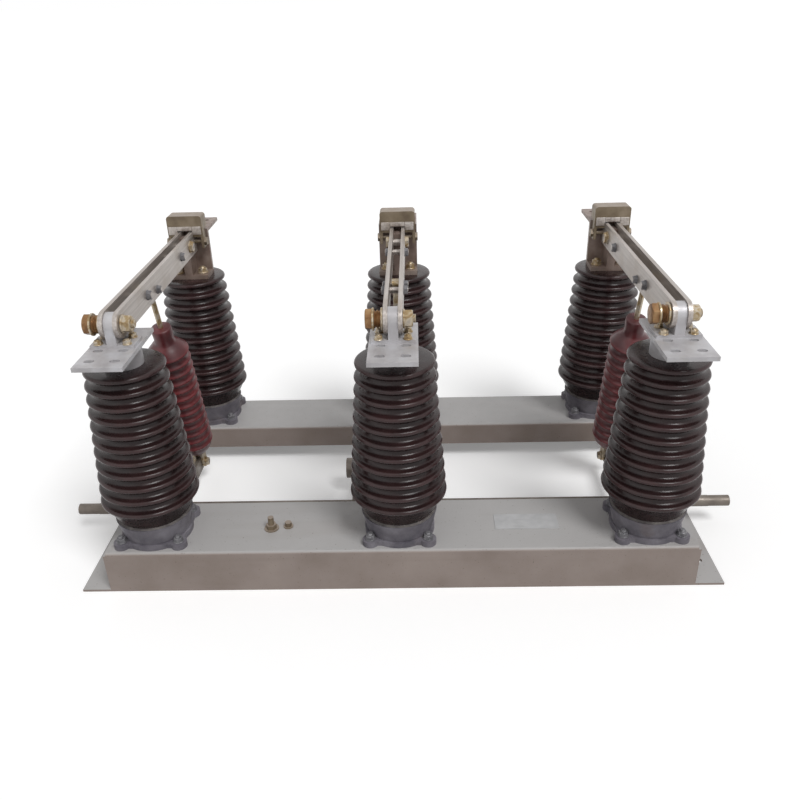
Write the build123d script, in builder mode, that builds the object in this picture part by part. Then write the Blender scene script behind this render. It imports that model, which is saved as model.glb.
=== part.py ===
from build123d import *
import math
import os

os.makedirs("parts", exist_ok=True)

# Three-pole indoor disconnect switch on a low steel frame. X runs along the beams,
# +Y runs from the hinge row at the front to the jaw row at the rear, Z is up.
# The origin is the middle of the frame on the floor.

# Frame
phase_pitch = 500.0
row_pitch = 510.0
beam_overhang = 87.0
beam_top = 96.0
sheet = 5.0
bend_radius = 6.0
front_beam_depth = 174.0
front_beam_nose = 77.5
rear_beam_depth = 155.0
rear_beam_nose = 85.0
rear_beam_height = 56.0
rail_overhang = 77.5
rail_height = 90.0
rail_flange = 63.0
floor_hole_d = 13.0
floor_hole_inset = 28.0
floor_hole_spread = 14.0

# Post insulators and their cast bases
base_bolt_pitch_x = 115.0
base_bolt_pitch_y = 108.0
base_ear_r = 16.0
base_flange_r = 71.0
base_flange_t = 12.0
base_bolt_d = 11.0
base_hub_r = 76.0
base_flare = 9.0
base_height = 52.0
post_height = 380.0
post_neck = 24.4
shed_count = 11
shed_top_r = 75.0
shed_bottom_r = 96.0
shed_depth = 13.5
shed_lip_r = 5.0
post_foot_r = 70.0

# Terminals, hinge and jaw
pad_width = 88.0
pad_t = 8.0
pedestal_height = 38.0
front_pad_nose = 118.0
front_pad_tail = 60.0
slot_pitch_x = 45.0
slot_pitch_y = 45.0
slot_d = 11.0
slot_length = 18.0
slot_inset = 27.0
pedestal_r = 36.0
hinge_setback = 15.0
hinge_rise = 38.0
lug_t = 18.0
lug_r = 22.0
lug_foot = (80.0, 46.0, 6.0)
hinge_pin_d = 16.0
hinge_head_flats = 34.0
hinge_head_t = 12.0
hinge_spring_d = 33.0
hinge_spring_length = 12.0
hinge_washer_d = 41.0
hinge_washer_t = 4.0
hinge_nut_flats = 28.0
hinge_nut_t = 14.0
hinge_nut_washer_d = 34.0
hinge_thread_length = 5.0
pivot_play = 0.05
side_gap = 0.2
jaw_width = 90.0
jaw_plate_t = 10.0
jaw_plate_setback = 18.0
jaw_tongue_reach = 51.0
jaw_tongue_rise = 15.0
jaw_foot_reach = 32.0
rear_pad_rise = 25.0
rear_pad_tail = 125.0

# Blades and contact clamps
blade_t = 8.0
blade_height = 50.0
blade_overrun = 10.0
blade_nose = 26.0
blade_end_r = 24.9
front_spacer_lead = 62.0
rear_spacer_setback = 125.0
spacer_d = 12.0
jaw_bolt_setback = 47.0
jaw_bolt_d = 16.0
bolt_overhang = 9.0
clamp_width = 82.0
clamp_setback = 10.0
clamp_length = 40.0
clamp_rise = 30.0
clamp_height = 32.0
clamp_corner_r = 7.0
clamp_side_t = 6.0
clamp_side_drop = 44.0
clamp_side_length = 20.0
clamp_wing_drop = 17.0
clamp_wing_t = 8.0
clamp_bolt_d = 10.0
clamp_bolt_head_d = 17.0
clamp_bolt_head_t = 6.0

# Operating shaft, cranks and pull rods
shaft_d = 25.0
shaft_overhang = 133.0
shaft_stub_d = 24.0
shaft_stub_length = 45.0
shaft_setback = 126.0
shaft_height = 62.0
bearing_play = 0.05
bearing_width = 62.0
bearing_height = 41.0
bearing_drop = 5.0
bearing_corner_r = 8.0
bearing_t = 14.0
rail_hole_gap = 2.0
crank_clearance = 87.0
crank_drop = 10.0
crank_t = 10.0
crank_hub_r = 22.0
crank_hub_length = 30.0
crank_end_r = 15.0
crank_pin_d = 12.0
crank_pin_overhang = 8.0
open_pivot_play = 0.5
drive_lever_x = -92.0
drive_lever_reach = 155.0
drive_boss_r = 24.0
drive_boss_length = 45.0
drive_hole_d = 12.0
link_eye_r = 12.0
link_eye_t = 14.0
link_shank_d = 11.0
link_pin_d = 10.0
rod_cap_start = 97.0
rod_cap_r = 21.5
rod_cap_length = 40.0
rod_shoulder_r = 36.0
rod_shoulder_length = 12.0
rod_rib_count = 13
rod_rib_top_r = 45.0
rod_rib_bottom_r = 43.0
rod_rib_depth = 4.5
rod_rib_lip_r = 4.0
rod_foot_r = 26.0
rod_foot_length = 24.0
rod_stud_d = 10.0
rod_stud_length = 12.0
clevis_gap = 12.0
clevis_side_t = 6.0
clevis_width = 26.0
clevis_neck = 34.0

# Small fittings on the front beam
earth_x = -265.0
earth_stud_d = 12.0
earth_stud_height = 26.0
earth_washer_d = 30.0
earth_washer_t = 2.0
earth_nut_d = 22.0
earth_nut_t = 9.0
earth_screw_x = -231.0
earth_screw_shift = 6.0
earth_screw_washer_d = 20.0
earth_screw_head_d = 14.4
plate_x = 260.0
plate_shift = 12.0
plate_size = (130.0, 50.0, 1.2)

front_row = -row_pitch / 2
rear_row = row_pitch / 2
phases = {"left": -phase_pitch, "centre": 0.0, "right": phase_pitch}
beam_length = 2 * (phase_pitch + beam_overhang)
shaft_length = beam_length + 2 * shaft_overhang
rail_length = row_pitch + 2 * rail_overhang
floor_hole_pitch = row_pitch + floor_hole_spread
hinge_y = front_row - hinge_setback
shaft_y = front_row + shaft_setback
post_top = beam_top + post_height
base_top = beam_top + base_height
shed_pitch = (post_height - base_height - post_neck) / shed_count
pad_top = post_top + pedestal_height + pad_t
hinge_height = pad_top + hinge_rise
rear_pad_top = hinge_height + rear_pad_rise
clamp_bottom = hinge_height + clamp_rise
blade_inner = lug_t / 2 + side_gap
blade_outer = blade_inner + blade_t
front_beam_front = front_row - front_beam_nose
rear_beam_front = rear_row - rear_beam_nose
jaw_plate_y = rear_row + jaw_plate_setback
crank_pin_y = rear_beam_front - crank_clearance
crank_pin_height = shaft_height - crank_drop
crank_reach = crank_pin_y - shaft_y
rod_pin_y = hinge_y + crank_reach
rod_pin_height = hinge_height - crank_drop
rod_drop = rod_pin_height - crank_pin_height
rod_length = math.hypot(crank_pin_y - rod_pin_y, rod_drop)
spacer_ys = (rod_pin_y - front_spacer_lead, rear_row - rear_spacer_setback)
crotch = rod_length - clevis_neck
rod_foot_end = crotch - rod_stud_length
rod_shoulder_end = rod_cap_start + rod_cap_length + rod_shoulder_length
rod_rib_pitch = (rod_foot_end - rod_foot_length - rod_shoulder_end) / rod_rib_count


def save(part, name):
    part.label = name
    export_step(part, f"parts/{name}.step")


# Bent channel beams, web on top, with fixing holes for the insulator bases
beams = {
    "front_beam": (front_beam_front, front_beam_depth, beam_top, front_row),
    "rear_beam": (rear_beam_front, rear_beam_depth, rear_beam_height, rear_row),
}
for name, (front, depth, height, row) in beams.items():
    with BuildPart() as beam:
        with BuildSketch(Plane.YZ.offset(-beam_length / 2)):
            for inset, mode in ((0, Mode.ADD), (sheet, Mode.SUBTRACT)):
                with BuildLine():
                    FilletPolyline(
                        (front + inset, beam_top - height),
                        (front + inset, beam_top - inset),
                        (front + depth - inset, beam_top - inset),
                        (front + depth - inset, beam_top - height),
                        radius=bend_radius - inset,
                    )
                    Line(
                        (front + inset, beam_top - height),
                        (front + depth - inset, beam_top - height),
                    )
                make_face(mode=mode)
        extrude(amount=beam_length)
        for x in phases.values():
            with Locations((x, row, beam_top - sheet / 2)):
                with GridLocations(base_bolt_pitch_x, base_bolt_pitch_y, 2, 2):
                    Cylinder(base_bolt_d / 2, 2 * sheet, mode=Mode.SUBTRACT)
    save(beam.part, name)

# Side rails: angles along Y with the foot turned outwards and the shaft passing through
for side, name in ((-1, "left_side_rail"), (1, "right_side_rail")):
    inner = side * beam_length / 2
    with BuildPart() as rail:
        with BuildSketch(Plane.XZ.offset(rail_length / 2)):
            with BuildLine():
                Polyline(
                    (inner, 0),
                    (inner + side * rail_flange, 0),
                    (inner + side * rail_flange, sheet),
                    (inner + side * sheet, sheet),
                    (inner + side * sheet, rail_height),
                    (inner, rail_height),
                    close=True,
                )
            make_face()
        extrude(amount=-rail_length)
        with Locations((inner + side * (rail_flange - floor_hole_inset), 0, 0)):
            with Locations((0, -floor_hole_pitch / 2), (0, floor_hole_pitch / 2)):
                Cylinder(floor_hole_d / 2, 4 * sheet, mode=Mode.SUBTRACT)
        with Locations(Location((inner, shaft_y, shaft_height), (0, 90, 0))):
            Cylinder(shaft_d / 2 + rail_hole_gap, 4 * sheet, mode=Mode.SUBTRACT)
    save(rail.part, name)

# Flange bearings on the outer faces of the rails
with BuildPart() as shaft_bearings:
    for side in (-1, 1):
        start = side * (beam_length / 2 + sheet)
        with BuildSketch(Plane.YZ.offset(start)):
            with Locations((shaft_y, shaft_height - bearing_drop)):
                RectangleRounded(bearing_width, bearing_height, bearing_corner_r)
            with Locations((shaft_y, shaft_height)):
                Circle(shaft_d / 2 + bearing_play, mode=Mode.SUBTRACT)
        extrude(amount=side * bearing_t)
save(shaft_bearings.part, "shaft_bearings")

# Cast insulator bases, one per post: lobed flange and flared hub
for row_name, row in (("front", front_row), ("rear", rear_row)):
    with BuildPart() as bases:
        for x in phases.values():
            with BuildSketch(Plane.XY.offset(beam_top)):
                with Locations((x, row)):
                    Circle(base_flange_r)
                    with GridLocations(base_bolt_pitch_x, base_bolt_pitch_y, 2, 2):
                        Circle(base_ear_r)
                    Rectangle(base_bolt_pitch_x + base_ear_r, base_bolt_pitch_y)
                    Rectangle(base_bolt_pitch_x, base_bolt_pitch_y + base_ear_r)
                    with GridLocations(base_bolt_pitch_x, base_bolt_pitch_y, 2, 2):
                        Circle(base_bolt_d / 2, mode=Mode.SUBTRACT)
            extrude(amount=base_flange_t)
            with Locations((x, row, beam_top + base_flange_t)):
                Cone(
                    base_hub_r - base_flare,
                    base_hub_r,
                    base_height - base_flange_t,
                    align=(Align.CENTER, Align.CENTER, Align.MIN),
                )
    save(bases.part, f"{row_name}_insulator_bases")

# Ribbed post insulators
for row_name, row in (("front", front_row), ("rear", rear_row)):
    for phase, x in phases.items():
        with BuildPart() as post:
            with BuildSketch(Plane.XZ.offset(-row)):
                with BuildLine():
                    end = (x + post_foot_r, base_top)
                    Line((x, base_top), end)
                    for shed in range(shed_count):
                        top = post_top - (shed_count - 1 - shed) * shed_pitch
                        share = shed / (shed_count - 1)
                        rim = x + shed_bottom_r + share * (shed_top_r - shed_bottom_r)
                        under = (rim - shed_lip_r, top - 2 * shed_lip_r)
                        if shed == 0:
                            Line(end, under)
                        else:
                            groove = (rim - shed_depth, (end[1] + under[1]) / 2)
                            ThreePointArc(end, groove, under)
                        end = (rim - shed_lip_r, top)
                        ThreePointArc(under, (rim, top - shed_lip_r), end)
                    Polyline(end, (x, post_top), (x, base_top))
                make_face()
            revolve(axis=Axis((x, row, 0), (0, 0, 1)))
        save(post.part, f"{row_name}_insulator_{phase}")

# Front terminals: slotted pad on a pedestal, with the hinge lug standing on it
for phase, x in phases.items():
    with BuildPart() as terminal:
        with BuildSketch(Plane.XY.offset(pad_top - pad_t)):
            with Locations((x, front_row + (front_pad_tail - front_pad_nose) / 2)):
                Rectangle(pad_width, front_pad_nose + front_pad_tail)
            with Locations((x, front_row - front_pad_nose + slot_inset + slot_pitch_y / 2)):
                with GridLocations(slot_pitch_x, slot_pitch_y, 2, 2):
                    SlotOverall(slot_length, slot_d, mode=Mode.SUBTRACT)
        extrude(amount=pad_t)
        with Locations((x, front_row, post_top)):
            Cylinder(
                pedestal_r,
                pad_top - pad_t - post_top,
                align=(Align.CENTER, Align.CENTER, Align.MIN),
            )
        with Locations((x, hinge_y, pad_top)):
            Box(*lug_foot, align=(Align.CENTER, Align.CENTER, Align.MIN))
        with BuildSketch(Plane.YZ.offset(x - lug_t / 2)):
            with Locations((hinge_y, hinge_height)):
                Circle(lug_r)
            with Locations((hinge_y, (pad_top + hinge_height) / 2)):
                Rectangle(2 * lug_r, hinge_height - pad_top)
            with Locations((hinge_y, hinge_height)):
                Circle(hinge_pin_d / 2, mode=Mode.SUBTRACT)
        extrude(amount=lug_t)
    save(terminal.part, f"front_terminal_{phase}")

# Rear jaws: foot, tongue between the blades, upright plate and slotted pad
for phase, x in phases.items():
    with BuildPart() as jaw:
        with BuildSketch(Plane.YZ.offset(x - jaw_width / 2)):
            with BuildLine():
                Polyline(
                    (jaw_plate_y + jaw_plate_t, post_top),
                    (jaw_plate_y + jaw_plate_t, rear_pad_top - pad_t),
                    (rear_row + rear_pad_tail, rear_pad_top - pad_t),
                    (rear_row + rear_pad_tail, rear_pad_top),
                    (jaw_plate_y, rear_pad_top),
                    (jaw_plate_y, post_top + jaw_plate_t),
                    (rear_row - jaw_foot_reach, post_top + jaw_plate_t),
                    (rear_row - jaw_foot_reach, post_top),
                    close=True,
                )
            make_face()
        extrude(amount=jaw_width)
        with BuildSketch(Plane.YZ.offset(x - lug_t / 2)):
            with BuildLine():
                Polyline(
                    (jaw_plate_y, post_top + jaw_plate_t),
                    (jaw_plate_y, hinge_height + jaw_tongue_rise),
                    (jaw_plate_y - jaw_tongue_reach, hinge_height + jaw_tongue_rise),
                    (jaw_plate_y - jaw_tongue_reach, hinge_height - blade_height / 2),
                    (rear_row - jaw_foot_reach, post_top + jaw_plate_t),
                    close=True,
                )
            make_face()
        extrude(amount=lug_t)
        with BuildSketch(Plane.XY.offset(rear_pad_top - pad_t)):
            with Locations((x, rear_row + rear_pad_tail - slot_inset - slot_pitch_y / 2)):
                with GridLocations(slot_pitch_x, slot_pitch_y, 2, 2):
                    SlotOverall(slot_length, slot_d)
        extrude(amount=pad_t, mode=Mode.SUBTRACT)
    save(jaw.part, f"rear_jaw_{phase}")

# Hinge bolts: pin, with head, washers and spring pack on the left and a nut on the right
for phase, x in phases.items():
    with BuildPart() as hinge_bolt:
        face = x - blade_outer - side_gap
        for d, length in (
            (hinge_washer_d, hinge_washer_t),
            (hinge_spring_d, hinge_spring_length),
            (hinge_washer_d, hinge_washer_t),
        ):
            with BuildSketch(Plane.YZ.offset(face)):
                with Locations((hinge_y, hinge_height)):
                    Circle(d / 2)
            extrude(amount=-length)
            face -= length
        with BuildSketch(Plane.YZ.offset(face)):
            with Locations((hinge_y, hinge_height)):
                RegularPolygon(hinge_head_flats / 2, 6, major_radius=False)
        extrude(amount=-hinge_head_t)
        face = x + blade_outer + side_gap
        with BuildSketch(Plane.YZ.offset(face)):
            with Locations((hinge_y, hinge_height)):
                Circle(hinge_nut_washer_d / 2)
        extrude(amount=hinge_washer_t)
        with BuildSketch(Plane.YZ.offset(face + hinge_washer_t)):
            with Locations((hinge_y, hinge_height)):
                RegularPolygon(hinge_nut_flats / 2, 6, major_radius=False)
        extrude(amount=hinge_nut_t)
        with BuildSketch(Plane.YZ.offset(x - blade_outer - side_gap)):
            with Locations((hinge_y, hinge_height)):
                Circle(hinge_pin_d / 2)
        pin_end = hinge_washer_t + hinge_nut_t + hinge_thread_length
        extrude(amount=2 * blade_outer + 2 * side_gap + pin_end)
    save(hinge_bolt.part, f"hinge_bolt_{phase}")

# Double blades: two flat bars tied by spacers, the rod pin and the jaw bolt
for phase, x in phases.items():
    with BuildPart() as blades:
        for side in (-1, 1):
            with BuildSketch(Plane.YZ.offset(x + side * blade_inner)):
                with BuildLine():
                    near = hinge_y - blade_nose
                    far = rear_row + blade_overrun
                    low = hinge_height - blade_height / 2
                    FilletPolyline(
                        (far, low),
                        (near, low),
                        (near, low + blade_height),
                        (far, low + blade_height),
                        radius=blade_end_r,
                    )
                    Line((far, low + blade_height), (far, low))
                make_face()
                with Locations((hinge_y, hinge_height)):
                    Circle(hinge_pin_d / 2 + pivot_play, mode=Mode.SUBTRACT)
            extrude(amount=side * blade_t)
        with BuildSketch(Plane.YZ.offset(x - blade_outer - bolt_overhang)):
            with Locations(*[(y, hinge_height) for y in spacer_ys]):
                Circle(spacer_d / 2)
            with Locations((rod_pin_y, rod_pin_height)):
                Circle(link_pin_d / 2)
            with Locations((rear_row - jaw_bolt_setback, hinge_height)):
                Circle(jaw_bolt_d / 2)
        extrude(amount=2 * (blade_outer + bolt_overhang))
    save(blades.part, f"blades_{phase}")

# Contact clamps on the blade ends: spring cover with side plates, front wings and bolts
for phase, x in phases.items():
    clamp_y = rear_row - clamp_setback
    with BuildPart() as clamp:
        with BuildSketch(Plane.XZ.offset(-clamp_y)):
            with Locations((x, clamp_bottom + clamp_height / 2)):
                box = Rectangle(clamp_width, clamp_height)
            fillet(box.vertices().group_by(Axis.Y)[-1], clamp_corner_r)
        extrude(amount=-clamp_length)
        for side in (-1, 1):
            with Locations((x + side * (clamp_width - clamp_side_t) / 2, clamp_y, clamp_bottom)):
                Box(
                    clamp_side_t,
                    clamp_side_length,
                    clamp_side_drop,
                    align=(Align.CENTER, Align.MIN, Align.MAX),
                )
            with Locations((x + side * (blade_outer + clamp_width / 2) / 2, clamp_y, clamp_bottom)):
                Box(
                    clamp_width / 2 - blade_outer,
                    clamp_wing_t,
                    clamp_wing_drop,
                    align=(Align.CENTER, Align.MIN, Align.MAX),
                )
            with BuildSketch(Plane.YZ.offset(x + side * blade_outer)):
                with Locations((clamp_y + clamp_side_length / 2, hinge_height)):
                    Circle(clamp_bolt_d / 2)
            extrude(amount=side * (clamp_width / 2 - blade_outer))
            with BuildSketch(Plane.YZ.offset(x + side * clamp_width / 2)):
                with Locations((clamp_y + clamp_side_length / 2, hinge_height)):
                    RegularPolygon(clamp_bolt_head_d / 2, 6, major_radius=False)
            extrude(amount=side * clamp_bolt_head_t)
    save(clamp.part, f"contact_clamp_{phase}")

# Operating shaft across the frame, with a coupling stub at each end
with BuildPart() as operating_shaft:
    with Locations(Location((0, shaft_y, shaft_height), (0, 90, 0))):
        Cylinder(shaft_d / 2, shaft_length - 2 * shaft_stub_length)
        Cylinder(shaft_stub_d / 2, shaft_length)
save(operating_shaft.part, "operating_shaft")

# Cranks on the shaft, each with the pin for its pull rod
for phase, x in phases.items():
    with BuildPart() as crank:
        with BuildSketch(Plane.YZ.offset(x - crank_hub_length / 2)):
            with Locations((shaft_y, shaft_height)):
                Circle(crank_hub_r)
                Circle(shaft_d / 2, mode=Mode.SUBTRACT)
        extrude(amount=crank_hub_length)
        with BuildSketch(Plane.YZ.offset(x - crank_t / 2)):
            with BuildLine():
                Polyline(
                    (shaft_y, shaft_height - crank_hub_r),
                    (crank_pin_y, crank_pin_height - crank_end_r),
                    (crank_pin_y, crank_pin_height + crank_end_r),
                    (shaft_y, shaft_height + crank_hub_r),
                    close=True,
                )
            make_face()
            with Locations((crank_pin_y, crank_pin_height)):
                Circle(crank_end_r)
            with Locations((shaft_y, shaft_height)):
                Circle(shaft_d / 2, mode=Mode.SUBTRACT)
        extrude(amount=crank_t)
        pin_length = clevis_gap + 2 * (clevis_side_t + crank_pin_overhang)
        with BuildSketch(Plane.YZ.offset(x - pin_length / 2)):
            with Locations((crank_pin_y, crank_pin_height)):
                Circle(crank_pin_d / 2)
        extrude(amount=pin_length)
    save(crank.part, f"crank_{phase}")

# Drive lever for the operating mechanism, with a knuckle at its end
with BuildPart() as drive_lever:
    with BuildSketch(Plane.YZ.offset(drive_lever_x - crank_hub_length / 2)):
        with Locations((shaft_y, shaft_height)):
            Circle(crank_hub_r)
            Circle(shaft_d / 2, mode=Mode.SUBTRACT)
    extrude(amount=crank_hub_length)
    with BuildSketch(Plane.YZ.offset(drive_lever_x - crank_t / 2)):
        with BuildLine():
            lever_end_y = shaft_y + drive_lever_reach
            Polyline(
                (shaft_y, shaft_height - crank_hub_r),
                (lever_end_y, shaft_height - crank_end_r),
                (lever_end_y, shaft_height + crank_end_r),
                (shaft_y, shaft_height + crank_hub_r),
                close=True,
            )
        make_face()
        with Locations((lever_end_y, shaft_height)):
            Circle(crank_end_r)
        with Locations((shaft_y, shaft_height)):
            Circle(shaft_d / 2, mode=Mode.SUBTRACT)
    extrude(amount=crank_t)
    with BuildSketch(Plane.YZ.offset(drive_lever_x + crank_t / 2)):
        with Locations((lever_end_y, shaft_height)):
            Circle(drive_boss_r)
    extrude(amount=-drive_boss_length)
    with Locations(Location((drive_lever_x, lever_end_y, shaft_height), (0, 90, 0))):
        Cylinder(drive_hole_d / 2, 3 * drive_boss_length, mode=Mode.SUBTRACT)
save(drive_lever.part, "drive_lever")

# Pull rods: eye rod on the blade pin, ribbed insulator and clevis on the crank pin.
# Each lies along its own axis, which leans forward from the crank to the blades.
for phase, x in phases.items():
    down = Vector(0, crank_pin_y - rod_pin_y, -rod_drop).normalized()
    rod_plane = Plane(origin=(x, rod_pin_y, rod_pin_height), x_dir=(1, 0, 0), z_dir=down)
    profile_plane = Plane(origin=rod_plane.origin, x_dir=(1, 0, 0), z_dir=-rod_plane.y_dir)
    with BuildPart() as link:
        with BuildSketch(Plane.YZ.offset(x - link_eye_t / 2)):
            with Locations((rod_pin_y, rod_pin_height)):
                Circle(link_eye_r)
        extrude(amount=link_eye_t)
        with BuildSketch(rod_plane):
            Circle(link_shank_d / 2)
        extrude(amount=rod_cap_start)
        with Locations(Location((x, rod_pin_y, rod_pin_height), (0, 90, 0))):
            Cylinder(link_pin_d / 2 + pivot_play, 2 * link_eye_t, mode=Mode.SUBTRACT)
    save(link.part, f"rod_link_{phase}")

    with BuildPart() as rod:
        with BuildSketch(profile_plane):
            with BuildLine():
                end = (rod_shoulder_r, rod_shoulder_end)
                Polyline(
                    (0, rod_cap_start),
                    (rod_cap_r, rod_cap_start),
                    (rod_cap_r, rod_cap_start + rod_cap_length),
                    end,
                )
                for rib in range(rod_rib_count):
                    middle = rod_shoulder_end + (rib + 0.5) * rod_rib_pitch
                    share = rib / (rod_rib_count - 1)
                    rim = rod_rib_top_r + share * (rod_rib_bottom_r - rod_rib_top_r)
                    core = rim - rod_rib_depth
                    start = (core, middle - rod_rib_lip_r)
                    Line(end, start)
                    end = (core, middle + rod_rib_lip_r)
                    ThreePointArc(start, (rim, middle), end)
                Polyline(
                    end,
                    (core, rod_foot_end - rod_foot_length),
                    (rod_foot_r, rod_foot_end),
                    (0, rod_foot_end),
                    (0, rod_cap_start),
                )
            make_face()
        revolve(axis=Axis((x, rod_pin_y, rod_pin_height), down))
    save(rod.part, f"rod_insulator_{phase}")

    with BuildPart() as clevis:
        with BuildSketch(rod_plane.offset(rod_foot_end)):
            Circle(rod_stud_d / 2)
        extrude(amount=rod_stud_length)
        with BuildSketch(rod_plane.offset(crotch - clevis_side_t)):
            Rectangle(clevis_gap + 2 * clevis_side_t, clevis_width)
        extrude(amount=clevis_side_t)
        for side in (-1, 1):
            side_plane = Plane(
                origin=(x + side * clevis_gap / 2, rod_pin_y, rod_pin_height),
                x_dir=down,
                z_dir=(side, 0, 0),
            )
            with BuildSketch(side_plane):
                with Locations(((crotch + rod_length) / 2, 0)):
                    Rectangle(rod_length - crotch, clevis_width)
                with Locations((rod_length, 0)):
                    Circle(clevis_width / 2)
                    Circle(crank_pin_d / 2 + open_pivot_play, mode=Mode.SUBTRACT)
            extrude(amount=clevis_side_t)
    save(clevis.part, f"rod_clevis_{phase}")

# Earthing stud with washer and nut, and the clamp screw beside it
with BuildPart() as earth_bolt:
    for x, shift, washer_d, head_d in (
        (earth_x, 0, earth_washer_d, earth_nut_d),
        (earth_screw_x, earth_screw_shift, earth_screw_washer_d, earth_screw_head_d),
    ):
        with BuildSketch(Plane.XY.offset(beam_top)):
            with Locations((x, front_row + shift)):
                Circle(washer_d / 2)
        extrude(amount=earth_washer_t)
        with BuildSketch(Plane.XY.offset(beam_top + earth_washer_t)):
            with Locations((x, front_row + shift)):
                RegularPolygon(head_d / 2, 6)
        extrude(amount=earth_nut_t)
    with BuildSketch(Plane.XY.offset(beam_top + earth_washer_t)):
        with Locations((earth_x, front_row)):
            Circle(earth_stud_d / 2)
    extrude(amount=earth_stud_height)
save(earth_bolt.part, "earth_bolt")

# Blank plate on the front beam
with BuildPart() as blank_plate:
    with Locations((plate_x, front_row + plate_shift, beam_top)):
        Box(*plate_size, align=(Align.CENTER, Align.CENTER, Align.MIN))
save(blank_plate.part, "blank_plate")
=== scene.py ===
import math
import random
import bpy
import bmesh
from mathutils import Matrix, Vector


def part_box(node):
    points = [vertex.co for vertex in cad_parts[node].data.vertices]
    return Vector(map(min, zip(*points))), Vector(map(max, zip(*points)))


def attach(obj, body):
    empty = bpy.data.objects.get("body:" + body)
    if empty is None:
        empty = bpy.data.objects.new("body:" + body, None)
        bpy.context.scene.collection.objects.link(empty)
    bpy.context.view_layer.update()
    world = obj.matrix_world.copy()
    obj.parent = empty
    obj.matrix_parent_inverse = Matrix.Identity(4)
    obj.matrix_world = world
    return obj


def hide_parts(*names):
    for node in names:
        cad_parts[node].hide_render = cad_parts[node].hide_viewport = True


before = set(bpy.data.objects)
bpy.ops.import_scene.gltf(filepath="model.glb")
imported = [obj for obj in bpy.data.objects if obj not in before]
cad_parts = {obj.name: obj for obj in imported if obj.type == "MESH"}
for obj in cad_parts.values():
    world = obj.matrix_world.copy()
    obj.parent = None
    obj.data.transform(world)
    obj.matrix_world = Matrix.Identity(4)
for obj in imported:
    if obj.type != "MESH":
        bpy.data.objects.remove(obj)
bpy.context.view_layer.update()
phases = ("left", "centre", "right")
sides = (-1, 1)
random.seed(11)
print("frame loaded:", len(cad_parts), "nodes")


# view, light and floor

viewpoint = {"spot": (0.0426, -1.5493, 1.065), "yaw": -1.54, "down": 27.53, "roll": -1.67, "lens": 34.87,
             "farthest": 500}
studio = {"sky": 0.42, "sun": 1.75, "sunFrom": (0.45, -0.55, 1.0), "sunSpread": 22,
          "fill": 0.35, "fillFrom": (-0.8, -0.9, 0.5), "fillSpread": 60,
          "floorReach": 240, "floorSteps": 96, "floorDrop": 0.0002,
          "floorSeen": 0.93, "floorBounce": 0.3, "floorGlow": 0.2}


def setCamera():
    yaw, down, roll = (math.radians(viewpoint[k]) for k in ("yaw", "down", "roll"))
    ahead = Vector((math.sin(yaw) * math.cos(down), math.cos(yaw) * math.cos(down), -math.sin(down)))
    level = Vector((math.cos(yaw), -math.sin(yaw), 0))
    rise = level.cross(ahead)
    right = level * math.cos(roll) + rise * math.sin(roll)
    up = rise * math.cos(roll) - level * math.sin(roll)
    lens = bpy.data.cameras.new("photoCamera")
    lens.lens = viewpoint["lens"]
    lens.clip_end = viewpoint["farthest"]
    camera = bpy.data.objects.new("photoCamera", lens)
    bpy.context.scene.collection.objects.link(camera)
    turn = Matrix((right, up, -ahead)).transposed().to_4x4()
    camera.matrix_world = Matrix.Translation(viewpoint["spot"]) @ turn
    bpy.context.scene.camera = camera


def addSun(name, strength, comesFrom, spread):
    sun = bpy.data.lights.new(name, "SUN")
    sun.energy = strength
    sun.angle = math.radians(spread)
    lamp = bpy.data.objects.new(name, sun)
    lamp.rotation_euler = Vector(comesFrom).to_track_quat("Z", "Y").to_euler()
    bpy.context.scene.collection.objects.link(lamp)


def seenDirectly(tree):
    # 1 for what the camera, a mirror or glass sees, 0 for light that bounces off
    path = tree.nodes.new("ShaderNodeLightPath")
    total = path.outputs["Is Camera Ray"]
    for other in ("Is Glossy Ray", "Is Transmission Ray"):
        both = tree.nodes.new("ShaderNodeMath")
        both.operation = "MAXIMUM"
        tree.links.new(total, both.inputs[0])
        tree.links.new(path.outputs[other], both.inputs[1])
        total = both.outputs[0]
    return total


def pickBetween(tree, chosen, off, on):
    pick = tree.nodes.new("ShaderNodeMapRange")
    pick.inputs["To Min"].default_value = off
    pick.inputs["To Max"].default_value = on
    tree.links.new(chosen, pick.inputs["Value"])
    return pick.outputs["Result"]


def setStudio():
    world = bpy.data.worlds.new("paleRoom")
    world.use_nodes = True
    sky = world.node_tree.nodes["Background"]
    sky.inputs["Color"].default_value = (1, 1, 1, 1)
    shine = pickBetween(world.node_tree, seenDirectly(world.node_tree), studio["sky"], 1.0)
    world.node_tree.links.new(shine, sky.inputs["Strength"])
    bpy.context.scene.world = world
    addSun("keySun", studio["sun"], studio["sunFrom"], studio["sunSpread"])
    addSun("fillSun", studio["fill"], studio["fillFrom"], studio["fillSpread"])
    bpy.ops.mesh.primitive_circle_add(vertices=studio["floorSteps"], radius=studio["floorReach"],
                                      fill_type="NGON", location=(0, 0, -studio["floorDrop"]))
    floor = bpy.context.object
    floor.name = "studioFloor"
    pale = bpy.data.materials.new("paleFloor")
    pale.use_nodes = True
    tree = pale.node_tree
    tree.nodes.remove(tree.nodes["Principled BSDF"])
    matt = tree.nodes.new("ShaderNodeBsdfDiffuse")
    tree.links.new(pickBetween(tree, seenDirectly(tree), studio["floorBounce"], studio["floorSeen"]),
                   matt.inputs["Color"])
    glow = tree.nodes.new("ShaderNodeEmission")
    tree.links.new(pickBetween(tree, seenDirectly(tree), 0.0, studio["floorGlow"]), glow.inputs["Strength"])
    both = tree.nodes.new("ShaderNodeAddShader")
    tree.links.new(matt.outputs["BSDF"], both.inputs[0])
    tree.links.new(glow.outputs["Emission"], both.inputs[1])
    tree.links.new(both.outputs["Shader"], tree.nodes["Material Output"].inputs["Surface"])
    floor.data.materials.append(pale)
    bpy.context.scene.view_settings.view_transform = "Standard"


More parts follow.
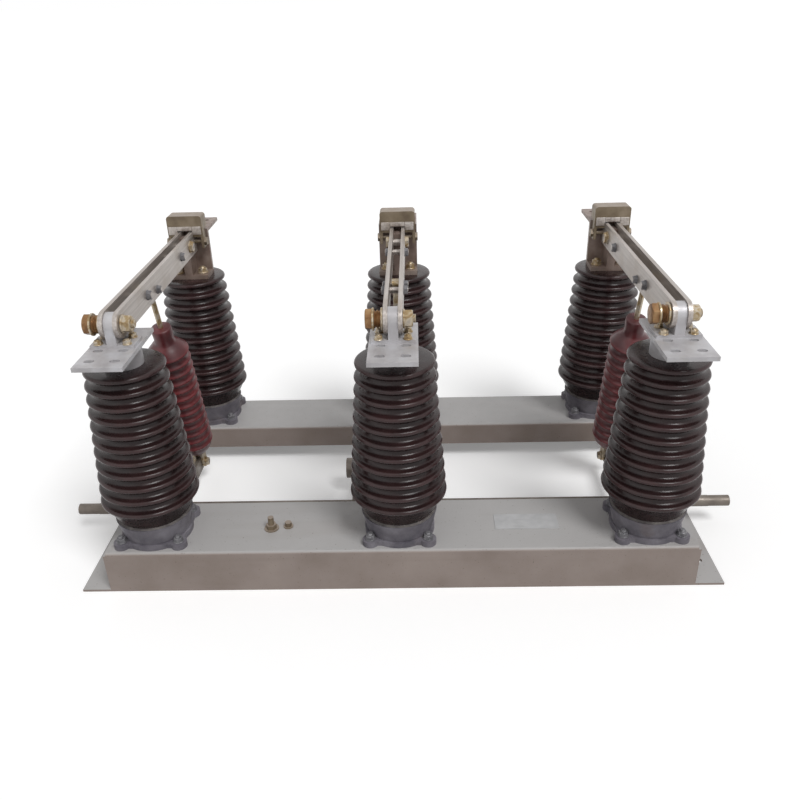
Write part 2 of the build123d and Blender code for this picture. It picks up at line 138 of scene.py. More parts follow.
setCamera()
setStudio()
print("camera, lamps and floor are in place")


# helpers for finishes

def hexColour(code):
    parts = [int(code[i:i + 2], 16) / 255 for i in (0, 2, 4)]
    return [p / 12.92 if p <= 0.04045 else ((p + 0.055) / 1.055) ** 2.4 for p in parts] + [1.0]


def startFinish(name, roughness, metallic=0.0):
    finish = bpy.data.materials.new(name)
    finish.use_nodes = True
    tree = finish.node_tree
    surface = tree.nodes["Principled BSDF"]
    surface.inputs["Roughness"].default_value = roughness
    surface.inputs["Metallic"].default_value = metallic
    return finish, tree, surface


def grain(tree, scale, detail=4.0, stretch=(1, 1, 1), swirl=0.0):
    place = tree.nodes.new("ShaderNodeTexCoord")
    spread = tree.nodes.new("ShaderNodeMapping")
    spread.inputs["Scale"].default_value = stretch
    noise = tree.nodes.new("ShaderNodeTexNoise")
    noise.inputs["Scale"].default_value = scale
    noise.inputs["Detail"].default_value = detail
    noise.inputs["Distortion"].default_value = swirl
    tree.links.new(place.outputs["Object"], spread.inputs["Vector"])
    tree.links.new(spread.outputs["Vector"], noise.inputs["Vector"])
    return noise.outputs["Fac"]


def pits(tree, scale):
    place = tree.nodes.new("ShaderNodeTexCoord")
    cells = tree.nodes.new("ShaderNodeTexVoronoi")
    cells.inputs["Scale"].default_value = scale
    tree.links.new(place.outputs["Object"], cells.inputs["Vector"])
    return cells.outputs["Distance"]


def facingUp(tree):
    # 0 on faces that look down or sideways, 1 on faces that look up
    shape = tree.nodes.new("ShaderNodeNewGeometry")
    split = tree.nodes.new("ShaderNodeSeparateXYZ")
    tree.links.new(shape.outputs["Normal"], split.inputs["Vector"])
    return remap(tree, split.outputs["Z"], 0.25, 0.9, 0.0, 1.0)


def remap(tree, amount, low, high, toLow, toHigh):
    scale = tree.nodes.new("ShaderNodeMapRange")
    for socket, number in (("From Min", low), ("From Max", high), ("To Min", toLow), ("To Max", toHigh)):
        scale.inputs[socket].default_value = number
    tree.links.new(amount, scale.inputs["Value"])
    return scale.outputs["Result"]


def shades(tree, amount, stops):
    node = tree.nodes.new("ShaderNodeValToRGB")
    ramp = node.color_ramp
    while len(ramp.elements) < len(stops):
        ramp.elements.new(0.5)
    for element, (position, code) in zip(ramp.elements, stops):
        element.position = position
        element.color = hexColour(code)
    tree.links.new(amount, node.inputs["Fac"])
    return node.outputs["Color"]


def mixed(tree, amount, first, second):
    mix = tree.nodes.new("ShaderNodeMix")
    mix.data_type = "RGBA"
    tree.links.new(amount, mix.inputs[0])
    for socket, colour in ((6, first), (7, second)):
        if isinstance(colour, str):
            mix.inputs[socket].default_value = hexColour(colour)
        else:
            tree.links.new(colour, mix.inputs[socket])
    return mix.outputs[2]


def relief(tree, surface, height, strength, depth):
    bump = tree.nodes.new("ShaderNodeBump")
    bump.inputs["Strength"].default_value = strength
    bump.inputs["Distance"].default_value = depth
    tree.links.new(height, bump.inputs["Height"])
    if surface.inputs["Normal"].links:
        tree.links.new(surface.inputs["Normal"].links[0].from_socket, bump.inputs["Normal"])
    tree.links.new(bump.outputs["Normal"], surface.inputs["Normal"])


def setColour(tree, surface, colour):
    tree.links.new(colour, surface.inputs["Base Color"])


def setRoughness(tree, surface, amount, low, high):
    tree.links.new(remap(tree, amount, 0.3, 0.7, low, high), surface.inputs["Roughness"])


# finishes

def sheetPaint():
    tones = {"dark": "8a7d75", "mid": "958881", "light": "9f928b", "dustAndTopLight": "acaaa9", "chip": "6e6259"}
    finish, tree, surface = startFinish("sheetPaint", 0.5)
    body = shades(tree, grain(tree, 9, 6), [(0.3, tones["dark"]), (0.5, tones["mid"]),
                                            (0.72, tones["light"])])
    # upward faces are painted paler: partly dust, partly painted top light
    dustedAndTopLit = mixed(tree, facingUp(tree), body, tones["dustAndTopLight"])
    streaks = grain(tree, 30, 3, (0.05, 0.4, 1.6))
    streaked = mixed(tree, remap(tree, streaks, 0.55, 0.8, 0, 0.35), dustedAndTopLit, tones["dark"])
    specks = remap(tree, grain(tree, 240, 2), 0.68, 0.74, 0, 0.7)
    setColour(tree, surface, mixed(tree, specks, streaked, tones["chip"]))
    setRoughness(tree, surface, grain(tree, 40, 5), 0.42, 0.62)
    relief(tree, surface, grain(tree, 420, 2), 0.25, 0.0004)
    relief(tree, surface, grain(tree, 14, 2), 0.2, 0.002)
    return finish


def castIron():
    tones = {"dark": "55525a", "mid": "6c686f", "light": "86838a", "rust": "6b5d57"}
    finish, tree, surface = startFinish("castIron", 0.6)
    body = shades(tree, grain(tree, 26, 8), [(0.3, tones["dark"]), (0.5, tones["mid"]),
                                             (0.75, tones["light"])])
    stain = remap(tree, grain(tree, 12, 4), 0.58, 0.72, 0, 0.55)
    setColour(tree, surface, mixed(tree, stain, body, tones["rust"]))
    setRoughness(tree, surface, grain(tree, 90, 4), 0.5, 0.75)
    relief(tree, surface, grain(tree, 260, 6), 0.55, 0.0012)
    relief(tree, surface, pits(tree, 160), 0.2, 0.001)
    return finish


def brownGlaze():
    tones = {"pool": "211617", "body": "2c1d1d", "thin": "3a2526", "rim": "4e3637"}
    finish, tree, surface = startFinish("brownGlaze", 0.2)
    surface.inputs["Specular IOR Level"].default_value = 0.3
    body = shades(tree, grain(tree, 18, 5, (1, 1, 2.5)), [(0.25, tones["pool"]), (0.55, tones["body"]),
                                                          (0.85, tones["thin"])])
    # rib edges are painted paler: partly thinner glaze, partly painted highlight
    rim = tree.nodes.new("ShaderNodeAttribute")
    rim.attribute_name = "rim"
    paleRimAndHighlight = tree.nodes.new("ShaderNodeMath")
    paleRimAndHighlight.operation = "MULTIPLY"
    tree.links.new(rim.outputs["Fac"], paleRimAndHighlight.inputs[0])
    tree.links.new(remap(tree, grain(tree, 35, 4), 0.3, 0.7, 0.1, 0.6), paleRimAndHighlight.inputs[1])
    setColour(tree, surface, mixed(tree, paleRimAndHighlight.outputs[0], body, tones["rim"]))
    setRoughness(tree, surface, grain(tree, 60, 4), 0.2, 0.34)
    relief(tree, surface, grain(tree, 130, 2), 0.08, 0.0006)
    return finish


def redResin():
    tones = {"deep": "3f1a1e", "body": "542225", "light": "782b2e"}
    finish, tree, surface = startFinish("redResin", 0.38)
    body = shades(tree, grain(tree, 24, 6, (1, 1, 0.5)), [(0.28, tones["deep"]), (0.5, tones["body"]),
                                                          (0.78, tones["light"])])
    # rib edges are painted paler, as a painted highlight
    rim = tree.nodes.new("ShaderNodeAttribute")
    rim.attribute_name = "rim"
    paleRimAndHighlight = remap(tree, rim.outputs["Fac"], 0, 1, 0, 0.5)
    setColour(tree, surface, mixed(tree, paleRimAndHighlight, body, tones["light"]))
    setRoughness(tree, surface, grain(tree, 70, 4), 0.3, 0.5)
    relief(tree, surface, grain(tree, 300, 3), 0.15, 0.0004)
    return finish


def rolledSteel():
    tones = {"dark": "5d564f", "mid": "776e66", "light": "8d857c", "oil": "4b423a"}
    finish, tree, surface = startFinish("rolledSteel", 0.45, 0.35)
    body = shades(tree, grain(tree, 20, 6), [(0.3, tones["dark"]), (0.5, tones["mid"]),
                                             (0.75, tones["light"])])
    oily = remap(tree, grain(tree, 9, 5), 0.55, 0.75, 0, 0.6)
    setColour(tree, surface, mixed(tree, oily, body, tones["oil"]))
    setRoughness(tree, surface, grain(tree, 60, 4), 0.38, 0.6)
    relief(tree, surface, grain(tree, 200, 3), 0.2, 0.0005)
    return finish


def tinnedCopper():
    tones = {"dark": "99918b", "mid": "b2aaa4", "light": "c6c0bb", "tarnish": "978878"}
    finish, tree, surface = startFinish("tinnedCopper", 0.38, 0.55)
    brushed = grain(tree, 220, 3, (1, 0.03, 1))
    body = shades(tree, brushed, [(0.25, tones["dark"]), (0.5, tones["mid"]), (0.75, tones["light"])])
    cloud = remap(tree, grain(tree, 14, 5), 0.52, 0.75, 0, 0.5)
    setColour(tree, surface, mixed(tree, cloud, body, tones["tarnish"]))
    setRoughness(tree, surface, brushed, 0.3, 0.48)
    relief(tree, surface, brushed, 0.1, 0.0003)
    return finish


def paleTin():
    tones = {"dark": "a9a6a8", "mid": "bab8ba", "light": "c8c8cc", "stain": "9d938b"}
    finish, tree, surface = startFinish("paleTin", 0.45, 0.3)
    body = shades(tree, grain(tree, 30, 6), [(0.28, tones["dark"]), (0.5, tones["mid"]),
                                             (0.75, tones["light"])])
    stain = remap(tree, grain(tree, 17, 5), 0.56, 0.76, 0, 0.5)
    setColour(tree, surface, mixed(tree, stain, body, tones["stain"]))
    setRoughness(tree, surface, grain(tree, 90, 4), 0.36, 0.56)
    relief(tree, surface, grain(tree, 300, 3), 0.14, 0.0003)
    relief(tree, surface, grain(tree, 160, 2, (0.05, 1, 1)), 0.06, 0.0003)
    return finish


def zincYellow():
    tones = {"pale": "c2b6a2", "gold": "a08a66", "bronze": "7d624a", "blue": "999490"}
    finish, tree, surface = startFinish("zincYellow", 0.34, 0.65)
    sheen = shades(tree, grain(tree, 55, 4, swirl=1.5), [(0.25, tones["blue"]), (0.42, tones["pale"]),
                                                         (0.58, tones["gold"]), (0.8, tones["bronze"])])
    setColour(tree, surface, sheen)
    setRoughness(tree, surface, grain(tree, 120, 3), 0.28, 0.45)
    relief(tree, surface, grain(tree, 500, 2), 0.12, 0.0002)
    return finish


def greyZinc():
    tones = {"dark": "5f5e62", "mid": "7a797c", "light": "949395"}
    finish, tree, surface = startFinish("greyZinc", 0.5, 0.4)
    setColour(tree, surface, shades(tree, grain(tree, 70, 5), [(0.3, tones["dark"]), (0.5, tones["mid"]),
                                                               (0.75, tones["light"])]))
    setRoughness(tree, surface, grain(tree, 120, 3), 0.42, 0.62)
    relief(tree, surface, grain(tree, 420, 3), 0.2, 0.0003)
    return finish


def springBronze():
    tones = {"dark": "5e4430", "mid": "876544", "light": "ab8c66"}
    finish, tree, surface = startFinish("springBronze", 0.4, 0.7)
    setColour(tree, surface, shades(tree, grain(tree, 60, 5), [(0.28, tones["dark"]), (0.5, tones["mid"]),
                                                               (0.78, tones["light"])]))
    setRoughness(tree, surface, grain(tree, 100, 3), 0.32, 0.55)
    relief(tree, surface, grain(tree, 380, 3), 0.2, 0.0003)
    return finish


def oliveSteel():
    tones = {"dark": "6a5c4b", "mid": "7f715d", "light": "988a78", "top": "a09388"}
    finish, tree, surface = startFinish("oliveSteel", 0.45, 0.3)
    body = shades(tree, grain(tree, 28, 6), [(0.3, tones["dark"]), (0.5, tones["mid"]),
                                             (0.78, tones["light"])])
    # upward faces are painted paler with the top tone, as painted top light
    setColour(tree, surface, mixed(tree, remap(tree, facingUp(tree), 0, 1, 0, 0.7), body, tones["top"]))
    setRoughness(tree, surface, grain(tree, 70, 4), 0.38, 0.58)
    relief(tree, surface, grain(tree, 240, 3), 0.2, 0.0004)
    return finish


def jawBronze():
    tones = {"dark": "6e5b51", "mid": "88776e", "light": "a09289"}
    finish, tree, surface = startFinish("jawBronze", 0.45, 0.3)
    setColour(tree, surface, shades(tree, grain(tree, 24, 6), [(0.3, tones["dark"]), (0.5, tones["mid"]),
                                                               (0.78, tones["light"])]))
    setRoughness(tree, surface, grain(tree, 60, 4), 0.34, 0.55)
    relief(tree, surface, grain(tree, 220, 3), 0.2, 0.0004)
    return finish


def cementGrout():
    tones = {"dark": "4f4a4a", "light": "75706d"}
    finish, tree, surface = startFinish("cementGrout", 0.85)
    body = shades(tree, grain(tree, 60, 8), [(0.3, tones["dark"]), (0.7, tones["light"])])
    setColour(tree, surface, body)
    relief(tree, surface, grain(tree, 320, 5), 0.5, 0.001)
    return finish


def plateEnamel():
    tones = {"mid": "a9a9aa", "light": "b9b9ba", "scuff": "8f8d8b"}
    finish, tree, surface = startFinish("plateEnamel", 0.35)
    body = shades(tree, grain(tree, 40, 6), [(0.35, tones["mid"]), (0.7, tones["light"])])
    scuffs = remap(tree, grain(tree, 60, 3, (0.2, 1, 1)), 0.6, 0.75, 0, 0.6)
    setColour(tree, surface, mixed(tree, scuffs, body, tones["scuff"]))
    setRoughness(tree, surface, grain(tree, 60, 4), 0.28, 0.45)
    relief(tree, surface, grain(tree, 260, 2), 0.1, 0.0002)
    return finish


paint = sheetPaint()
iron = castIron()
glaze = brownGlaze()
resin = redResin()
steel = rolledSteel()
copper = tinnedCopper()
tin = paleTin()
zinc = zincYellow()
dullZinc = greyZinc()
spring = springBronze()
olive = oliveSteel()
bronze = jawBronze()
grout = cementGrout()
enamel = plateEnamel()
print("finishes are mixed")


# helpers for meshes

# a bolt head's chamfer and underside, and a washer's rounded edge, as shares of their size
hexShape = {"chamferFrom": 0.95, "chamferFall": 0.16, "under": 0.2}
washerEdge = 0.25
# a thread's radii as shares of its stud's, and the rise of one turn
threadShape = {"pitch": 0.0016, "root": 0.88, "start": 0.9, "end": 0.82}
rimDepth = 0.004    # how far in from the edge of a rib its paler edge colour reaches, partly painted highlight


def turned(bm, spot, profile, steps=24, finish=0):
    # a solid of revolution about the spot's Z, from (radius, height) pairs
    rings = []
    for radius, height in profile:
        if radius < 1e-6:
            rings.append([bm.verts.new(spot @ Vector((0, 0, height)))])
            continue
        turns = [2 * math.pi * i / steps for i in range(steps)]
        rings.append([bm.verts.new(spot @ Vector((radius * math.cos(t), radius * math.sin(t), height)))
                      for t in turns])
    for near, far in zip(rings, rings[1:]):
        for i in range(steps):
            j = (i + 1) % steps
            if len(near) == 1:
                corners = (near[0], far[j], far[i])
            elif len(far) == 1:
                corners = (near[i], near[j], far[0])
            else:
                corners = (near[i], near[j], far[j], far[i])
            face = bm.faces.new(corners)
            face.smooth = True
            face.material_index = finish


def hexHead(bm, spot, flats, height, finish=0, lower=0.0, steps=48):
    # six-sided head with the round chamfer that a turned blank has
    inner = flats / 2 * hexShape["chamferFrom"]
    corner = flats / 2 / math.cos(math.pi / 6)
    levels = [[], [], [], []]
    for i in range(steps):
        turn = 2 * math.pi * i / steps
        reach = flats / 2 / math.cos((turn + math.pi / 6) % (math.pi / 3) - math.pi / 6)
        fall = hexShape["chamferFall"] * height * (reach - inner) / (corner - inner)
        way = Vector((math.cos(turn), math.sin(turn), 0))
        stops = ((inner * hexShape["under"], lower), (reach, lower),
                 (reach, lower + height - fall), (inner, lower + height))
        for level, (radius, rise) in zip(levels, stops):
            level.append(bm.verts.new(spot @ (way * radius + Vector((0, 0, rise)))))
    top = bm.verts.new(spot @ Vector((0, 0, lower + height)))
    for near, far in zip(levels, levels[1:]):
        for i in range(steps):
            j = (i + 1) % steps
            bm.faces.new((near[i], near[j], far[j], far[i])).material_index = finish
    for i in range(steps):
        bm.faces.new((levels[3][i], levels[3][(i + 1) % steps], top)).material_index = finish


def threadedEnd(bm, spot, radius, start, length, finish=0):
    profile = [(radius * threadShape["start"], start)]
    count = max(2, int(length / threadShape["pitch"]))
    for i in range(count):
        profile += [(radius * threadShape["root"], start + i * length / count),
                    (radius, start + (i + 0.5) * length / count)]
    profile += [(radius * threadShape["end"], start + length), (0, start + length)]
    turned(bm, spot, profile, 20, finish)


def washer(bm, spot, inner, outer, start, thickness, finish=0):
    edge = thickness * washerEdge
    top = start + thickness
    turned(bm, spot, [(inner, start), (outer - edge, start), (outer, start + edge), (outer, top - edge),
                      (outer - edge, top), (inner, top)], 32, finish)


def block(bm, spot, size, edge, finish=0):
    # a box about the spot with rounded edges
    made = bmesh.ops.create_cube(bm, size=1.0, matrix=spot @ Matrix.Diagonal((*size, 1)))["verts"]
    edges = {e for v in made for e in v.link_edges}
    for face in {f for v in made for f in v.link_faces}:
        face.material_index = finish
    bmesh.ops.bevel(bm, geom=list(edges), offset=edge, segments=3, affect="EDGES", profile=0.5)


def facing(spot, way):
    # a placing at spot whose Z looks along way
    turn = Vector(way).to_track_quat("Z", "Y").to_matrix().to_4x4()
    return Matrix.Translation(spot) @ turn


def finishPiece(name, bm, finishes, body, replaced=(), sharp=32):
    mesh = bpy.data.meshes.new(name)
    bmesh.ops.recalc_face_normals(bm, faces=bm.faces)
    bm.to_mesh(mesh)
    bm.free()
    for finish in finishes:
        mesh.materials.append(finish)
    mesh.shade_smooth()
    mesh.set_sharp_from_angle(angle=math.radians(sharp))
    piece = bpy.data.objects.new(name, mesh)
    bpy.context.scene.collection.objects.link(piece)
    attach(piece, body)
    if replaced:
        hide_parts(*replaced)
    return piece


def paintRim(piece, axisSpot, axisWay, reachAt):
    # writes how near each point is to the outer edge of the ribs, for the finish to read; the finishes paint
    # the edges paler there, partly as painted highlight
    mesh = piece.data
    layer = mesh.attributes.new("rim", "FLOAT", "POINT")
    start, way = Vector(axisSpot), Vector(axisWay).normalized()
    values = []
    for vertex in mesh.vertices:
        arm = vertex.co - start
        along = arm.dot(way)
        radius = (arm - way * along).length
        values.append(max(0.0, min(1.0, (radius - reachAt(along) + rimDepth) / rimDepth)))
    layer.data.foreach_set("value", values)


def middle(node):
    low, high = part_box(node)
    return (low + high) / 2, low, high


# dressed CAD nodes

def dress(node, finish):
    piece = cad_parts[node]
    if not piece.material_slots:
        piece.data.materials.append(finish)
    for holder in piece.material_slots:
        holder.material = finish


for node in ("front_beam", "rear_beam", "left_side_rail", "right_side_rail"):
    dress(node, paint)
for node in ("front_insulator_bases", "rear_insulator_bases", "shaft_bearings"):
    dress(node, iron)
for node in ("operating_shaft", "drive_lever"):
    dress(node, steel)
dress("earth_bolt", olive)
dress("blank_plate", enamel)
for phase in phases:
    dress("crank_" + phase, steel)
    dress("front_terminal_" + phase, tin)
    dress("blades_" + phase, copper)
    dress("rear_jaw_" + phase, bronze)
    dress("contact_clamp_" + phase, olive)
    dress("rod_link_" + phase, zinc)
    dress("rod_clevis_" + phase, zinc)
print("CAD nodes are dressed")


# ribbed post insulators

post = {"ribs": 11, "topReach": 0.075, "lowReach": 0.096, "depth": 0.0135, "lip": 0.005,
        "foot": 0.070, "footEdge": 0.002, "topFlat": 0.05, "neck": 0.0244,
        "steps": 72, "grooveSteps": 8, "lipSteps": 6}


def postReach(rib):
    share = rib / (post["ribs"] - 1)
    return post["lowReach"] + share * (post["topReach"] - post["lowReach"])


def postProfile(low, high):
    # from the foot up: neck, rounded ribs with hollow grooves between them, and the flat top
    lip = post["lip"]
    pitch = (high - low - post["neck"]) / post["ribs"]
    edge, grooveSteps, lipSteps = post["footEdge"], post["grooveSteps"], post["lipSteps"]
    points = [(0, low), (post["foot"] - edge, low), (post["foot"], low + edge)]
    for rib in range(post["ribs"]):
        inner = postReach(rib) - lip
        middleOf = high - lip - (post["ribs"] - 1 - rib) * pitch
        if rib:
            hollow, half = post["depth"] - lip, pitch / 2 - lip
            before = points[-1][0]
            for k in range(1, grooveSteps):
                turn = math.pi * (k / grooveSteps - 0.5)
                points.append((before + (inner - before) * k / grooveSteps - hollow * math.cos(turn),
                               middleOf - pitch / 2 + half * math.sin(turn)))
        for k in range(lipSteps + 1):
            turn = math.pi * (k / lipSteps - 0.5)
            points.append((inner + lip * math.cos(turn), middleOf + lip * math.sin(turn)))
    return points + [(post["topFlat"], high), (0, high)]


def makePost(row, phase):
    node = f"{row}_insulator_{phase}"
    centre, low, high = middle(node)
    bm = bmesh.new()
    turned(bm, Matrix.Translation((centre.x, centre.y, 0)), postProfile(low.z, high.z), post["steps"])
    piece = finishPiece(f"{row}Post_{phase}", bm, [glaze], "frame", [node], 50)
    pitch = (high.z - low.z - post["neck"]) / post["ribs"]

    def reachAt(along):
        rib = round((along - high.z + post["lip"]) / pitch) + post["ribs"] - 1
        return postReach(max(0, min(post["ribs"] - 1, rib)))

    paintRim(piece, (centre.x, centre.y, 0), (0, 0, 1), reachAt)


for row in ("front", "rear"):
    for phase in phases:
        makePost(row, phase)
print("post insulators are turned")


# red pull insulators, which lean with their rods

pull = {"start": 0.097, "cap": 0.0215, "capLength": 0.040, "shoulder": 0.036, "shoulderLength": 0.012,
        "ribs": 13, "topReach": 0.045, "lowReach": 0.043, "depth": 0.0045, "footLength": 0.024,
        "pastFoot": 0.046, "steps": 64}
# (radius, length) pairs: the cap from its end, one rib from its core and middle, the foot from its end
capEnd = ((0, 0), (0.0185, 0), (0.0208, 0.0012), (0.0215, 0.004), (0.0215, 0.014), (0.0208, 0.024))
ribRise = ((0, -0.0065), (0.0013, -0.0042), (pull["depth"] - 0.0008, -0.0018), (pull["depth"], 0),
           (pull["depth"] - 0.0008, 0.0018), (0.0013, 0.0042), (0, 0.0065))
footEnd = ((0.0383, -0.0235), (0.0345, -0.013), (0.0275, -0.004), (0.025, 0), (0.018, 0), (0, 0))
linkage = {"rodPin": (-0.058, 0.550), "crankPin": (0.083, 0.052)}


def rodLine(phase):
    # the rod's pin on the blades and the crank pin below it, in the middle of the CAD rod
    x = middle("rod_link_" + phase)[0].x
    return Vector((x, *linkage["rodPin"])), Vector((x, *linkage["crankPin"]))


def pullReach(rib):
    share = max(0.0, min(1.0, rib / (pull["ribs"] - 1)))
    return pull["topReach"] + share * (pull["lowReach"] - pull["topReach"])


def pullPitch(length):
    first = pull["start"] + pull["capLength"] + pull["shoulderLength"]
    return (length - pull["pastFoot"] - pull["footLength"] - first) / pull["ribs"]


def pullProfile(length):
    # along the rod from the cap's end: cap, shoulder, shallow ribs and tapered foot
    cap, first = pull["capLength"], pull["capLength"] + pull["shoulderLength"]
    pitch = pullPitch(length)
    points = [*capEnd, (pull["cap"], cap - 0.004), (0.0238, cap), (0.0305, cap + 0.005),
              (pull["shoulder"], first)]
    for rib in range(pull["ribs"]):
        core, lip = pullReach(rib) - pull["depth"], first + (rib + 0.5) * pitch
        points += [(core + out, lip + along) for out, along in ribRise]
    end = length - pull["pastFoot"] - pull["start"]
    return points + [(radius, end + along) for radius, along in footEnd]


def makePull(phase):
    top, bottom = rodLine(phase)
    way = (bottom - top).normalized()
    start = top + way * pull["start"]
    length = (bottom - top).length
    bm = bmesh.new()
    turned(bm, facing(start, way), pullProfile(length), pull["steps"])
    piece = finishPiece("pullInsulator_" + phase, bm, [resin], "rod_" + phase,
                        ["rod_insulator_" + phase], 50)
    first = pull["capLength"] + pull["shoulderLength"]
    paintRim(piece, start, way, lambda along: pullReach((along - first) / pullPitch(length)))


for phase in phases:
    makePull(phase)
print("pull insulators are turned")


# hinge bolts: washer, spring pack, washers and nut on one pin

bladeFace = 0.0172    # from the middle of a pair of blades to just off its outer faces
hinge = {"headFlats": 0.034, "headDepth": 0.012, "spring": 0.0165, "springLength": 0.012, "discs": 4,
         "washer": 0.0205, "washerHole": 0.007, "washerDepth": 0.004, "nutFlats": 0.028, "nutDepth": 0.014,
         "nutWasher": 0.017, "pin": 0.008, "thread": 0.005, "threadSunk": 0.001, "gap": 0.0002}
discShape = {"cup": 0.86, "bore": 0.97, "edge": 0.15}


def springPack(bm, spot, radius, start, length, count, finish=0):
    # cupped disc springs laid face to face
    each = length / count
    profile = []
    for i in range(count):
        foot, small = start + i * each, radius * discShape["cup"]
        wide, narrow = (radius, small) if i % 2 else (small, radius)
        profile += [(narrow * discShape["bore"], foot), (narrow, foot + each * discShape["edge"]),
                    (wide, foot + each * (1 - discShape["edge"])), (wide * discShape["bore"], foot + each)]
    turned(bm, spot, profile, 40, finish)


def makeHingeBolt(phase):
    node = "hinge_bolt_" + phase
    centre = middle(node)[0]
    x = middle("blades_" + phase)[0].x
    face, hole = bladeFace + hinge["gap"], hinge["washerHole"]
    flat, sunk = hinge["washerDepth"], hinge["threadSunk"]
    bm = bmesh.new()
    left = facing((x - face, centre.y, centre.z), (-1, 0, 0))
    washer(bm, left, hole, hinge["washer"], 0, flat)
    springPack(bm, left, hinge["spring"], flat, hinge["springLength"], hinge["discs"], 1)
    rise = flat + hinge["springLength"]
    washer(bm, left, hole, hinge["washer"], rise, flat)
    hexHead(bm, left, hinge["headFlats"], hinge["headDepth"], 1, rise + flat)
    right = facing((x + face, centre.y, centre.z), (1, 0, 0))
    washer(bm, right, hole, hinge["nutWasher"], 0, flat)
    hexHead(bm, right, hinge["nutFlats"], hinge["nutDepth"], 0, flat)
    threadedEnd(bm, right, hinge["pin"], flat + hinge["nutDepth"] - sunk, hinge["thread"] + sunk)
    turned(bm, left, [(hinge["pin"], -2 * face), (hinge["pin"], 0)], 32, 0)
    finishPiece("hingeBolt_" + phase, bm, [zinc, spring], "frame", [node])


for phase in phases:
    makeHingeBolt(phase)
print("hinge bolts are built")


# fasteners

# a nut's parts as shares of its width over the flats
nutShape = {"stud": 0.31, "washer": 0.66, "washerDepth": 0.13, "height": 0.5, "studFrom": 0.6}
# across is how far a bolt stands from its pole's or bearing's middle
baseBolt = {"across": (0.0575, 0.054), "top": 0.108, "under": 0.091, "flats": 0.016, "stud": 0.005}
lugBolt = {"across": 0.026, "rows": (-0.286, -0.254), "seat": 0.528, "flats": 0.013, "stud": 0.002}
jawBolt = {"across": 0.028, "row": 0.245, "seat": 0.486, "flats": 0.019, "stud": 0.004}
bearingBolt = {"across": 0.0225, "flats": 0.013, "stud": 0.002}
# where the grout stands out round a post's foot, as (radius, height) pairs
groutEdge = ((0.069, 0), (0.0742, 0.0004), (0.0735, 0.0014), (0.0718, 0.0022), (0.0706, 0.004),
             (0.069, 0.0044))


def setNut(bm, spot, flats, stud):
    radius, flat = flats * nutShape["stud"], flats * nutShape["washerDepth"]
    washer(bm, spot, radius, flats * nutShape["washer"], 0, flat)
    hexHead(bm, spot, flats, flats * nutShape["height"], 0, flat)
    if stud:
        threadedEnd(bm, spot, radius, flats * nutShape["studFrom"], stud)


def baseBolts(row):
    bm = bmesh.new()
    acrossX, acrossY = baseBolt["across"]
    for phase in phases:
        centre = middle(f"{row}_insulator_{phase}")[0]
        for a in sides:
            for b in sides:
                spot = (centre.x + a * acrossX, centre.y + b * acrossY)
                setNut(bm, Matrix.Translation((*spot, baseBolt["top"])), baseBolt["flats"], baseBolt["stud"])
                setNut(bm, facing((*spot, baseBolt["under"]), (0, 0, -1)), baseBolt["flats"], 0)
    finishPiece(row + "BaseBolts", bm, [dullZinc], "frame")


def groutRings():
    bm = bmesh.new()
    for row in ("front", "rear"):
        for phase in phases:
            centre, low = middle(f"{row}_insulator_{phase}")[:2]
            turned(bm, Matrix.Translation((centre.x, centre.y, low.z)), groutEdge, 64)
    finishPiece("groutRings", bm, [grout], "frame")


def terminalBolts():
    bm = bmesh.new()
    for phase in phases:
        x = middle("front_terminal_" + phase)[0].x
        for a in sides:
            for y in lugBolt["rows"]:
                spot = Matrix.Translation((x + a * lugBolt["across"], y, lugBolt["seat"]))
                setNut(bm, spot, lugBolt["flats"], lugBolt["stud"])
            spot = Matrix.Translation((x + a * jawBolt["across"], jawBolt["row"], jawBolt["seat"]))
            setNut(bm, spot, jawBolt["flats"], jawBolt["stud"])
    finishPiece("terminalBolts", bm, [zinc], "frame")


def bearingBolts():
    bm = bmesh.new()
    centre, low, high = middle("shaft_bearings")
    for end, edge in ((-1, low.x), (1, high.x)):
        for b in sides:
            spot = facing((edge, centre.y + b * bearingBolt["across"], centre.z), (end, 0, 0))
            setNut(bm, spot, bearingBolt["flats"], bearingBolt["stud"])
    finishPiece("bearingBolts", bm, [zinc], "frame")


spacerBolt = {"rows": (-0.120, 0.130), "flats": 0.016, "pinFlats": 0.014, "hole": 0.005, "washer": 0.64,
              "washerDepth": 0.0015, "height": 0.0065}
jawEndBolt = {"row": 0.208, "flats": 0.022, "hole": 0.007, "washer": 0.0145, "washerDepth": 0.002,
              "height": 0.0068}


def bladeBolts(phase):
    bm = bmesh.new()
    centre = middle("blades_" + phase)[0]
    flat = spacerBolt["washerDepth"]
    small = [(y, centre.z, spacerBolt["flats"]) for y in spacerBolt["rows"]]
    small.append((*linkage["rodPin"], spacerBolt["pinFlats"]))
    for a in sides:
        face = centre.x + a * bladeFace
        for y, z, flats in small:
            spot = facing((face, y, z), (a, 0, 0))
            washer(bm, spot, spacerBolt["hole"], flats * spacerBolt["washer"], 0, flat, 1)
            hexHead(bm, spot, flats, spacerBolt["height"], 1, flat)
        spot = facing((face, jawEndBolt["row"], centre.z), (a, 0, 0))
        washer(bm, spot, jawEndBolt["hole"], jawEndBolt["washer"], 0, jawEndBolt["washerDepth"])
        hexHead(bm, spot, jawEndBolt["flats"], jawEndBolt["height"], 0, jawEndBolt["washerDepth"])
    finishPiece("bladeBolts_" + phase, bm, [zinc, dullZinc], "blade_" + phase)


# pale pressure bar in front of the spring cover, over the blade ends
bar = {"row": 0.2432, "across": 0.0277, "endHeight": 0.5885, "endSize": (0.0206, 0.0030, 0.0190),
       "endEdge": 0.0008, "midHeight": 0.5930, "midSize": (0.0340, 0.0028, 0.0100), "midEdge": 0.0006}


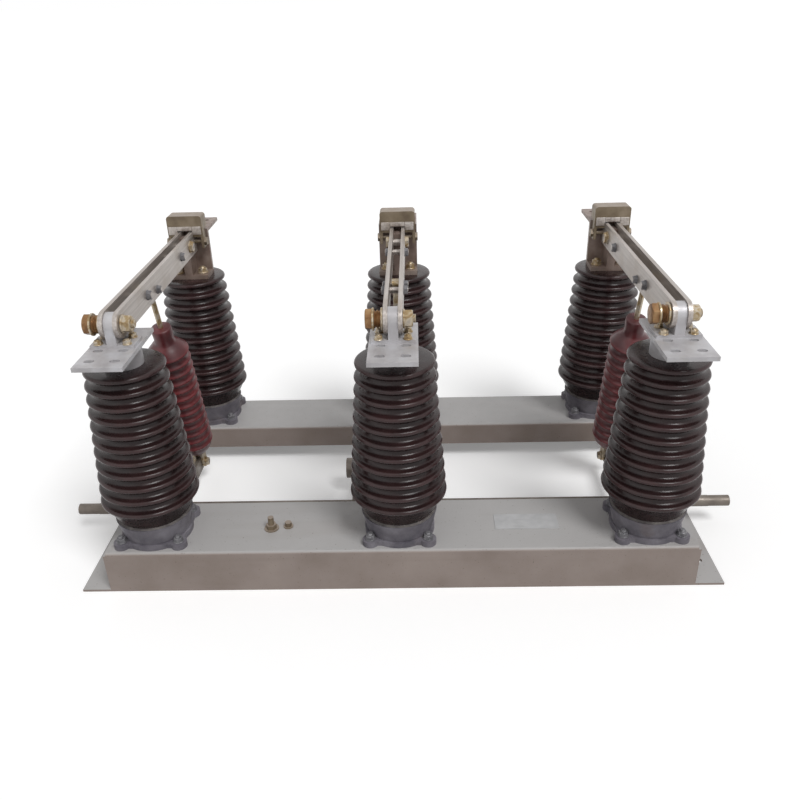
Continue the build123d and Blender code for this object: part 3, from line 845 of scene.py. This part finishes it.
def contactBar(phase):
    x = middle("contact_clamp_" + phase)[0].x
    bm = bmesh.new()
    for a in sides:
        spot = Matrix.Translation((x + a * bar["across"], bar["row"], bar["endHeight"]))
        block(bm, spot, bar["endSize"], bar["endEdge"])
    block(bm, Matrix.Translation((x, bar["row"], bar["midHeight"])), bar["midSize"], bar["midEdge"])
    finishPiece("contactBar_" + phase, bm, [copper], "blade_" + phase)


crankPin = {"across": 0.0125, "hole": 0.0055, "washer": 0.0115, "washerDepth": 0.0018, "flats": 0.018,
            "height": 0.0055, "seat": 0.0019}
hubScrew = {"across": 0.009, "spot": (-0.129, 0.0825), "flats": 0.009, "height": 0.004}


def crankPins():
    bm = bmesh.new()
    middles = [middle("crank_" + phase)[0].x for phase in phases]
    for x in middles:
        for a in sides:
            spot = facing((x + a * crankPin["across"], *linkage["crankPin"]), (a, 0, 0))
            washer(bm, spot, crankPin["hole"], crankPin["washer"], 0, crankPin["washerDepth"])
            hexHead(bm, spot, crankPin["flats"], crankPin["height"], 0, crankPin["seat"])
    for x in middles:
        for a in sides:
            spot = facing((x + a * hubScrew["across"], *hubScrew["spot"]), (0, 0, 1))
            hexHead(bm, spot, hubScrew["flats"], hubScrew["height"])
    finishPiece("crankFixings", bm, [zinc], "shaft")


weld = {"steps": 90, "around": 6, "setIn": 0.008, "radius": 0.0028, "ripple": 0.0006, "rippleTurn": 1.9,
        "unevenness": 0.0002, "inward": 0.001, "height": 0.0905}


def weldBeads():
    bm = bmesh.new()
    steps, around = weld["steps"], weld["around"]
    turns = [2 * math.pi * k / around for k in range(around)]
    for node in ("front_beam", "rear_beam"):
        low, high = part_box(node)
        for x, way in ((low.x, 1), (high.x, -1)):
            rings = []
            for i in range(steps + 1):
                y = low.y + weld["setIn"] + (high.y - low.y - 2 * weld["setIn"]) * i / steps
                ripple = weld["ripple"] * math.sin(i * weld["rippleTurn"])
                radius = weld["radius"] + ripple + random.uniform(-weld["unevenness"], weld["unevenness"])
                rings.append([bm.verts.new((x + way * weld["inward"] + radius * math.cos(t), y,
                                            weld["height"] + radius * math.sin(t))) for t in turns])
            for near, far in zip(rings, rings[1:]):
                for k in range(around):
                    bm.faces.new((near[k], near[(k + 1) % around], far[(k + 1) % around], far[k]))
    finishPiece("weldBeads", bm, [paint], "frame")


for row in ("front", "rear"):
    baseBolts(row)
groutRings()
terminalBolts()
bearingBolts()
for phase in phases:
    bladeBolts(phase)
    contactBar(phase)
crankPins()
weldBeads()
print("fasteners are set")
